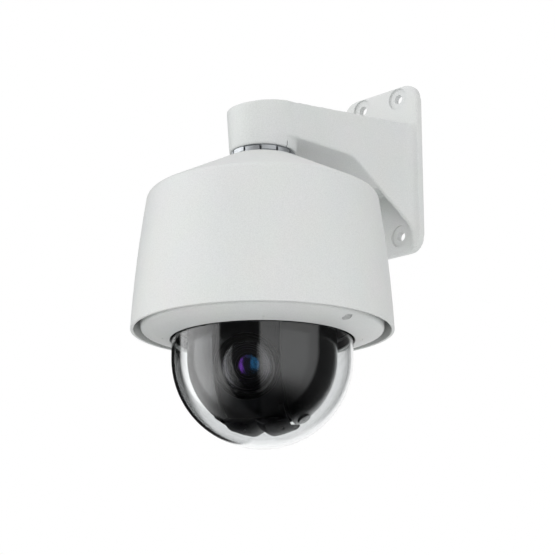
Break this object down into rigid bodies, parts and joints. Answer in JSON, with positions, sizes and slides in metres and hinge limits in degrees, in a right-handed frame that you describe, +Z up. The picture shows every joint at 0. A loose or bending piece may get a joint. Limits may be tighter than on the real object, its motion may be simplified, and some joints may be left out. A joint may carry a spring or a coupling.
{
  "type": "ptz camera",
  "caption": "Outdoor dome camera on a cast wall bracket: a conical sun shroud over a clear bubble, with a panning head, tilting lens drum, zoom and focus groups, belts and fan.",
  "frame": {"origin": "on the back of the wall plate, midway between its two lower fixing holes", "axes": "+Y points into the wall, +Z is up, +X runs along the wall"},
  "size_m": [0.236, 0.294, 0.38],
  "materials": {
    "body_paint": "fine-textured light grey powder coat",
    "bezel_paint": "smooth light grey paint",
    "zinc_plate": "zinc plated, satin",
    "cast_alloy": "as cast, bead blasted",
    "steel": "turned, satin",
    "motor_steel": "dark plated",
    "aluminium": "machined",
    "brass": "turned",
    "rubber": "matt",
    "black_plastic": "fine matt moulding",
    "black_gloss": "semi-gloss moulding",
    "circuit_board": "solder resist",
    "clear_dome": "clear moulded dome",
    "lens_glass": "coated optical glass"
  },
  "bodies": {
    "housing": {"wall_bracket": "body_paint", "sun_shroud": "body_paint", "bezel_ring": "bezel_paint", "camera_lock_ring": "zinc_plate", "bracket_lock_ring": "zinc_plate", "hub_set_screw": "steel", "neck_adapter": "cast_alloy", "shroud_spacer_1": "rubber", "shroud_spacer_2": "rubber", "shroud_spacer_3": "rubber", "housing_can": "cast_alloy", "housing_gasket": "rubber", "bezel_screw_1": "steel", "bezel_screw_2": "steel", "dome_gasket": "rubber", "dome_bubble": "clear_dome", "dome_clamp_ring": "steel", "clamp_screw_1": "steel", "clamp_screw_2": "steel", "clamp_screw_3": "steel", "chassis_plate": "cast_alloy", "chassis_screw_1": "steel", "chassis_screw_2": "steel", "chassis_screw_3": "steel", "pan_bearing_outer": "steel", "pan_motor": "motor_steel", "pan_belt": "rubber", "fan_frame": "black_plastic", "heater": "aluminium", "main_board": "circuit_board", "network_jack": "steel", "slip_ring_stator": "black_plastic"},
    "pan_head": {"pan_bearing_inner": "steel", "slip_ring_rotor": "brass", "pan_shaft": "aluminium", "pan_pulley": "aluminium", "yoke_base": "cast_alloy", "yoke_arm_right": "cast_alloy", "yoke_arm_left": "cast_alloy", "tilt_bush_right": "brass", "tilt_bush_left": "brass", "cheek_cover_right": "black_gloss", "cheek_cover_left": "black_gloss", "tilt_motor_bracket": "aluminium", "tilt_motor": "motor_steel", "tilt_belt": "rubber"},
    "eye": {"zoom_housing": "black_plastic", "lens_ring": "black_plastic", "front_lens": "lens_glass", "lens_drum": "black_gloss", "drum_chin": "black_gloss", "tilt_shaft_right": "steel", "tilt_shaft_left": "steel", "tilt_pulley": "aluminium", "image_sensor_board": "circuit_board"},
    "pan_pinion": {"pan_motor_pulley": "aluminium"},
    "tilt_pinion": {"tilt_motor_pulley": "aluminium"},
    "fan": {"fan_rotor": "black_plastic"},
    "zoom_group": {"zoom_lens_group": "lens_glass"},
    "focus_group": {"focus_lens_group": "lens_glass"}
  },
  "joints": [
    {"name": "pan", "type": "hinge", "parent": "housing", "child": "pan_head", "pos_m": [0, -0.176, -0.14396], "axis": [0, 0, 1], "continuous": true},
    {"name": "tilt", "type": "hinge", "parent": "pan_head", "child": "eye", "pos_m": [0, -0.176, -0.14396], "axis": [0.8572, 0.515, 0], "range_deg": [-18, 72]},
    {"name": "pan_motor_spin", "type": "hinge", "parent": "housing", "child": "pan_pinion", "pos_m": [-0.066, -0.176, -0.10596], "axis": [0, 0, 1], "continuous": true},
    {"name": "tilt_motor_spin", "type": "hinge", "parent": "pan_head", "child": "tilt_pinion", "pos_m": [0, -0.176, -0.10596], "axis": [0.8572, 0.515, 0], "range_deg": [-58, 231]},
    {"name": "fan_spin", "type": "hinge", "parent": "housing", "child": "fan", "pos_m": [0, -0.112, -0.04996], "axis": [0, 0, 1], "continuous": true},
    {"name": "zoom", "type": "slide", "parent": "eye", "child": "zoom_group", "axis": [0.4898, -0.8152, -0.309], "range_m": [-0.012, 0.012]},
    {"name": "focus", "type": "slide", "parent": "eye", "child": "focus_group", "axis": [0.4898, -0.8152, -0.309], "range_m": [-0.004, 0.004]}
  ],
  "couplings": [
    {"joint": "pan_motor_spin", "follows": "pan", "ratio": 5.25},
    {"joint": "tilt_motor_spin", "follows": "tilt", "ratio": 3.2}
  ]
}
